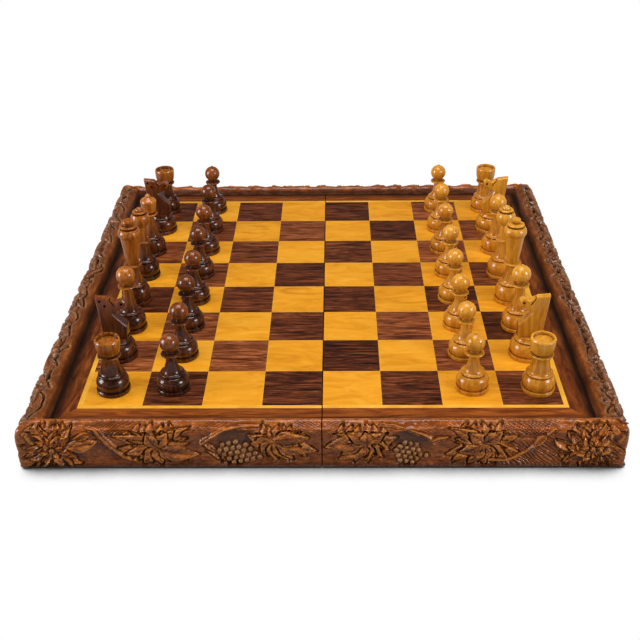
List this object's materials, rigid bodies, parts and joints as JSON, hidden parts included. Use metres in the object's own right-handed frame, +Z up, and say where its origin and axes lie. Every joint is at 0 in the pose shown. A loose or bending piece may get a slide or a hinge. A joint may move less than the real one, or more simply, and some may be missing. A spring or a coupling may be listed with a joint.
{
  "type": "folding chess box",
  "caption": "Folding carved wooden chess box, opened flat as a board: hinged trays, inlaid squares, a hook closure, and turned chessmen standing on it.",
  "frame": {"origin": "middle of the opened box, on the surface that it stands on", "axes": "+X across the seam towards the light men, +Y along the seam towards the back, +Z up out of the playing surface"},
  "size_m": [0.4216, 0.4072, 0.101],
  "materials": {
    "carved_walnut": "carved and varnished walnut, satin to gloss",
    "plain_walnut": "planed and oiled walnut",
    "plywood": "birch plywood, hidden under veneer",
    "light_veneer": "golden maple veneer, glossy varnish",
    "dark_veneer": "walnut veneer, glossy varnish",
    "stringing_veneer": "pale stringing, glossy varnish",
    "border_veneer": "red-brown walnut veneer, glossy varnish",
    "baize": "green baize",
    "brass": "drawn and polished brass, lightly tarnished",
    "dark_stained_wood": "turned, stained dark and varnished",
    "boxwood": "turned boxwood, honey varnish"
  },
  "bodies": {
    "left_half": {"left_front_rail": "carved_walnut", "left_back_rail": "carved_walnut", "left_end_rail": "carved_walnut", "left_hinge_wall": "plain_walnut", "left_board_panel": "plywood", "left_felt": "baize", "left_light_squares": "light_veneer", "left_dark_squares": "dark_veneer", "left_stringing": "stringing_veneer", "left_border": "border_veneer", "left_hinge_leaves": "brass", "left_hinge_screws": "brass", "hinge_pins": "brass", "hook_screw": "brass"},
    "right_half": {"right_front_rail": "carved_walnut", "right_back_rail": "carved_walnut", "right_end_rail": "carved_walnut", "right_hinge_wall": "plain_walnut", "right_board_panel": "plywood", "right_felt": "baize", "right_light_squares": "light_veneer", "right_dark_squares": "dark_veneer", "right_stringing": "stringing_veneer", "right_border": "border_veneer", "right_hinge_leaves": "brass", "right_hinge_screws": "brass", "catch_screw": "brass"},
    "hook": {"hook": "brass"},
    "dark_rook_front": {"dark_rook_front": "dark_stained_wood"},
    "dark_knight_front": {"dark_knight_front": "dark_stained_wood"},
    "dark_bishop_front": {"dark_bishop_front": "dark_stained_wood"},
    "dark_king": {"dark_king": "dark_stained_wood"},
    "dark_queen": {"dark_queen": "dark_stained_wood"},
    "dark_bishop_back": {"dark_bishop_back": "dark_stained_wood"},
    "dark_knight_back": {"dark_knight_back": "dark_stained_wood"},
    "dark_rook_back": {"dark_rook_back": "dark_stained_wood"},
    "dark_pawn_1": {"dark_pawn_1": "dark_stained_wood"},
    "dark_pawn_2": {"dark_pawn_2": "dark_stained_wood"},
    "dark_pawn_3": {"dark_pawn_3": "dark_stained_wood"},
    "dark_pawn_4": {"dark_pawn_4": "dark_stained_wood"},
    "dark_pawn_5": {"dark_pawn_5": "dark_stained_wood"},
    "dark_pawn_6": {"dark_pawn_6": "dark_stained_wood"},
    "dark_pawn_7": {"dark_pawn_7": "dark_stained_wood"},
    "dark_pawn_8": {"dark_pawn_8": "dark_stained_wood"},
    "light_rook_front": {"light_rook_front": "boxwood"},
    "light_knight_front": {"light_knight_front": "boxwood"},
    "light_bishop_front": {"light_bishop_front": "boxwood"},
    "light_king": {"light_king": "boxwood"},
    "light_queen": {"light_queen": "boxwood"},
    "light_bishop_back": {"light_bishop_back": "boxwood"},
    "light_knight_back": {"light_knight_back": "boxwood"},
    "light_rook_back": {"light_rook_back": "boxwood"},
    "light_pawn_1": {"light_pawn_1": "boxwood"},
    "light_pawn_2": {"light_pawn_2": "boxwood"},
    "light_pawn_3": {"light_pawn_3": "boxwood"},
    "light_pawn_4": {"light_pawn_4": "boxwood"},
    "light_pawn_5": {"light_pawn_5": "boxwood"},
    "light_pawn_6": {"light_pawn_6": "boxwood"},
    "light_pawn_7": {"light_pawn_7": "boxwood"},
    "light_pawn_8": {"light_pawn_8": "boxwood"}
  },
  "joints": [
    {"name": "fold", "type": "hinge", "parent": "left_half", "child": "right_half", "pos_m": [0, 0, 0.00135], "axis": [0, 1, 0], "range_deg": [0, 179.15]},
    {"name": "hook_swing", "type": "hinge", "parent": "left_half", "child": "hook", "pos_m": [-0.2075, 0, 0.01085], "axis": [-1, 0, 0], "range_deg": [0, 90]},
    {"name": "lift_dark_rook_front", "type": "slide", "parent": "left_half", "child": "dark_rook_front", "axis": [0, 0, 1], "range_m": [0, 0.08]},
    {"name": "lift_dark_knight_front", "type": "slide", "parent": "left_half", "child": "dark_knight_front", "axis": [0, 0, 1], "range_m": [0, 0.08]},
    {"name": "lift_dark_bishop_front", "type": "slide", "parent": "left_half", "child": "dark_bishop_front", "axis": [0, 0, 1], "range_m": [0, 0.08]},
    {"name": "lift_dark_king", "type": "slide", "parent": "left_half", "child": "dark_king", "axis": [0, 0, 1], "range_m": [0, 0.08]},
    {"name": "lift_dark_queen", "type": "slide", "parent": "left_half", "child": "dark_queen", "axis": [0, 0, 1], "range_m": [0, 0.08]},
    {"name": "lift_dark_bishop_back", "type": "slide", "parent": "left_half", "child": "dark_bishop_back", "axis": [0, 0, 1], "range_m": [0, 0.08]},
    {"name": "lift_dark_knight_back", "type": "slide", "parent": "left_half", "child": "dark_knight_back", "axis": [0, 0, 1], "range_m": [0, 0.08]},
    {"name": "lift_dark_rook_back", "type": "slide", "parent": "left_half", "child": "dark_rook_back", "axis": [0, 0, 1], "range_m": [0, 0.08]},
    {"name": "lift_dark_pawn_1", "type": "slide", "parent": "left_half", "child": "dark_pawn_1", "axis": [0, 0, 1], "range_m": [0, 0.08]},
    {"name": "lift_dark_pawn_2", "type": "slide", "parent": "left_half", "child": "dark_pawn_2", "axis": [0, 0, 1], "range_m": [0, 0.08]},
    {"name": "lift_dark_pawn_3", "type": "slide", "parent": "left_half", "child": "dark_pawn_3", "axis": [0, 0, 1], "range_m": [0, 0.08]},
    {"name": "lift_dark_pawn_4", "type": "slide", "parent": "left_half", "child": "dark_pawn_4", "axis": [0, 0, 1], "range_m": [0, 0.08]},
    {"name": "lift_dark_pawn_5", "type": "slide", "parent": "left_half", "child": "dark_pawn_5", "axis": [0, 0, 1], "range_m": [0, 0.08]},
    {"name": "lift_dark_pawn_6", "type": "slide", "parent": "left_half", "child": "dark_pawn_6", "axis": [0, 0, 1], "range_m": [0, 0.08]},
    {"name": "lift_dark_pawn_7", "type": "slide", "parent": "left_half", "child": "dark_pawn_7", "axis": [0, 0, 1], "range_m": [0, 0.08]},
    {"name": "lift_dark_pawn_8", "type": "slide", "parent": "left_half", "child": "dark_pawn_8", "axis": [0, 0, 1], "range_m": [0, 0.08]},
    {"name": "lift_light_rook_front", "type": "slide", "parent": "right_half", "child": "light_rook_front", "axis": [0, 0, 1], "range_m": [0, 0.08]},
    {"name": "lift_light_knight_front", "type": "slide", "parent": "right_half", "child": "light_knight_front", "axis": [0, 0, 1], "range_m": [0, 0.08]},
    {"name": "lift_light_bishop_front", "type": "slide", "parent": "right_half", "child": "light_bishop_front", "axis": [0, 0, 1], "range_m": [0, 0.08]},
    {"name": "lift_light_king", "type": "slide", "parent": "right_half", "child": "light_king", "axis": [0, 0, 1], "range_m": [0, 0.08]},
    {"name": "lift_light_queen", "type": "slide", "parent": "right_half", "child": "light_queen", "axis": [0, 0, 1], "range_m": [0, 0.08]},
    {"name": "lift_light_bishop_back", "type": "slide", "parent": "right_half", "child": "light_bishop_back", "axis": [0, 0, 1], "range_m": [0, 0.08]},
    {"name": "lift_light_knight_back", "type": "slide", "parent": "right_half", "child": "light_knight_back", "axis": [0, 0, 1], "range_m": [0, 0.08]},
    {"name": "lift_light_rook_back", "type": "slide", "parent": "right_half", "child": "light_rook_back", "axis": [0, 0, 1], "range_m": [0, 0.08]},
    {"name": "lift_light_pawn_1", "type": "slide", "parent": "right_half", "child": "light_pawn_1", "axis": [0, 0, 1], "range_m": [0, 0.08]},
    {"name": "lift_light_pawn_2", "type": "slide", "parent": "right_half", "child": "light_pawn_2", "axis": [0, 0, 1], "range_m": [0, 0.08]},
    {"name": "lift_light_pawn_3", "type": "slide", "parent": "right_half", "child": "light_pawn_3", "axis": [0, 0, 1], "range_m": [0, 0.08]},
    {"name": "lift_light_pawn_4", "type": "slide", "parent": "right_half", "child": "light_pawn_4", "axis": [0, 0, 1], "range_m": [0, 0.08]},
    {"name": "lift_light_pawn_5", "type": "slide", "parent": "right_half", "child": "light_pawn_5", "axis": [0, 0, 1], "range_m": [0, 0.08]},
    {"name": "lift_light_pawn_6", "type": "slide", "parent": "right_half", "child": "light_pawn_6", "axis": [0, 0, 1], "range_m": [0, 0.08]},
    {"name": "lift_light_pawn_7", "type": "slide", "parent": "right_half", "child": "light_pawn_7", "axis": [0, 0, 1], "range_m": [0, 0.08]},
    {"name": "lift_light_pawn_8", "type": "slide", "parent": "right_half", "child": "light_pawn_8", "axis": [0, 0, 1], "range_m": [0, 0.08]}
  ]
}
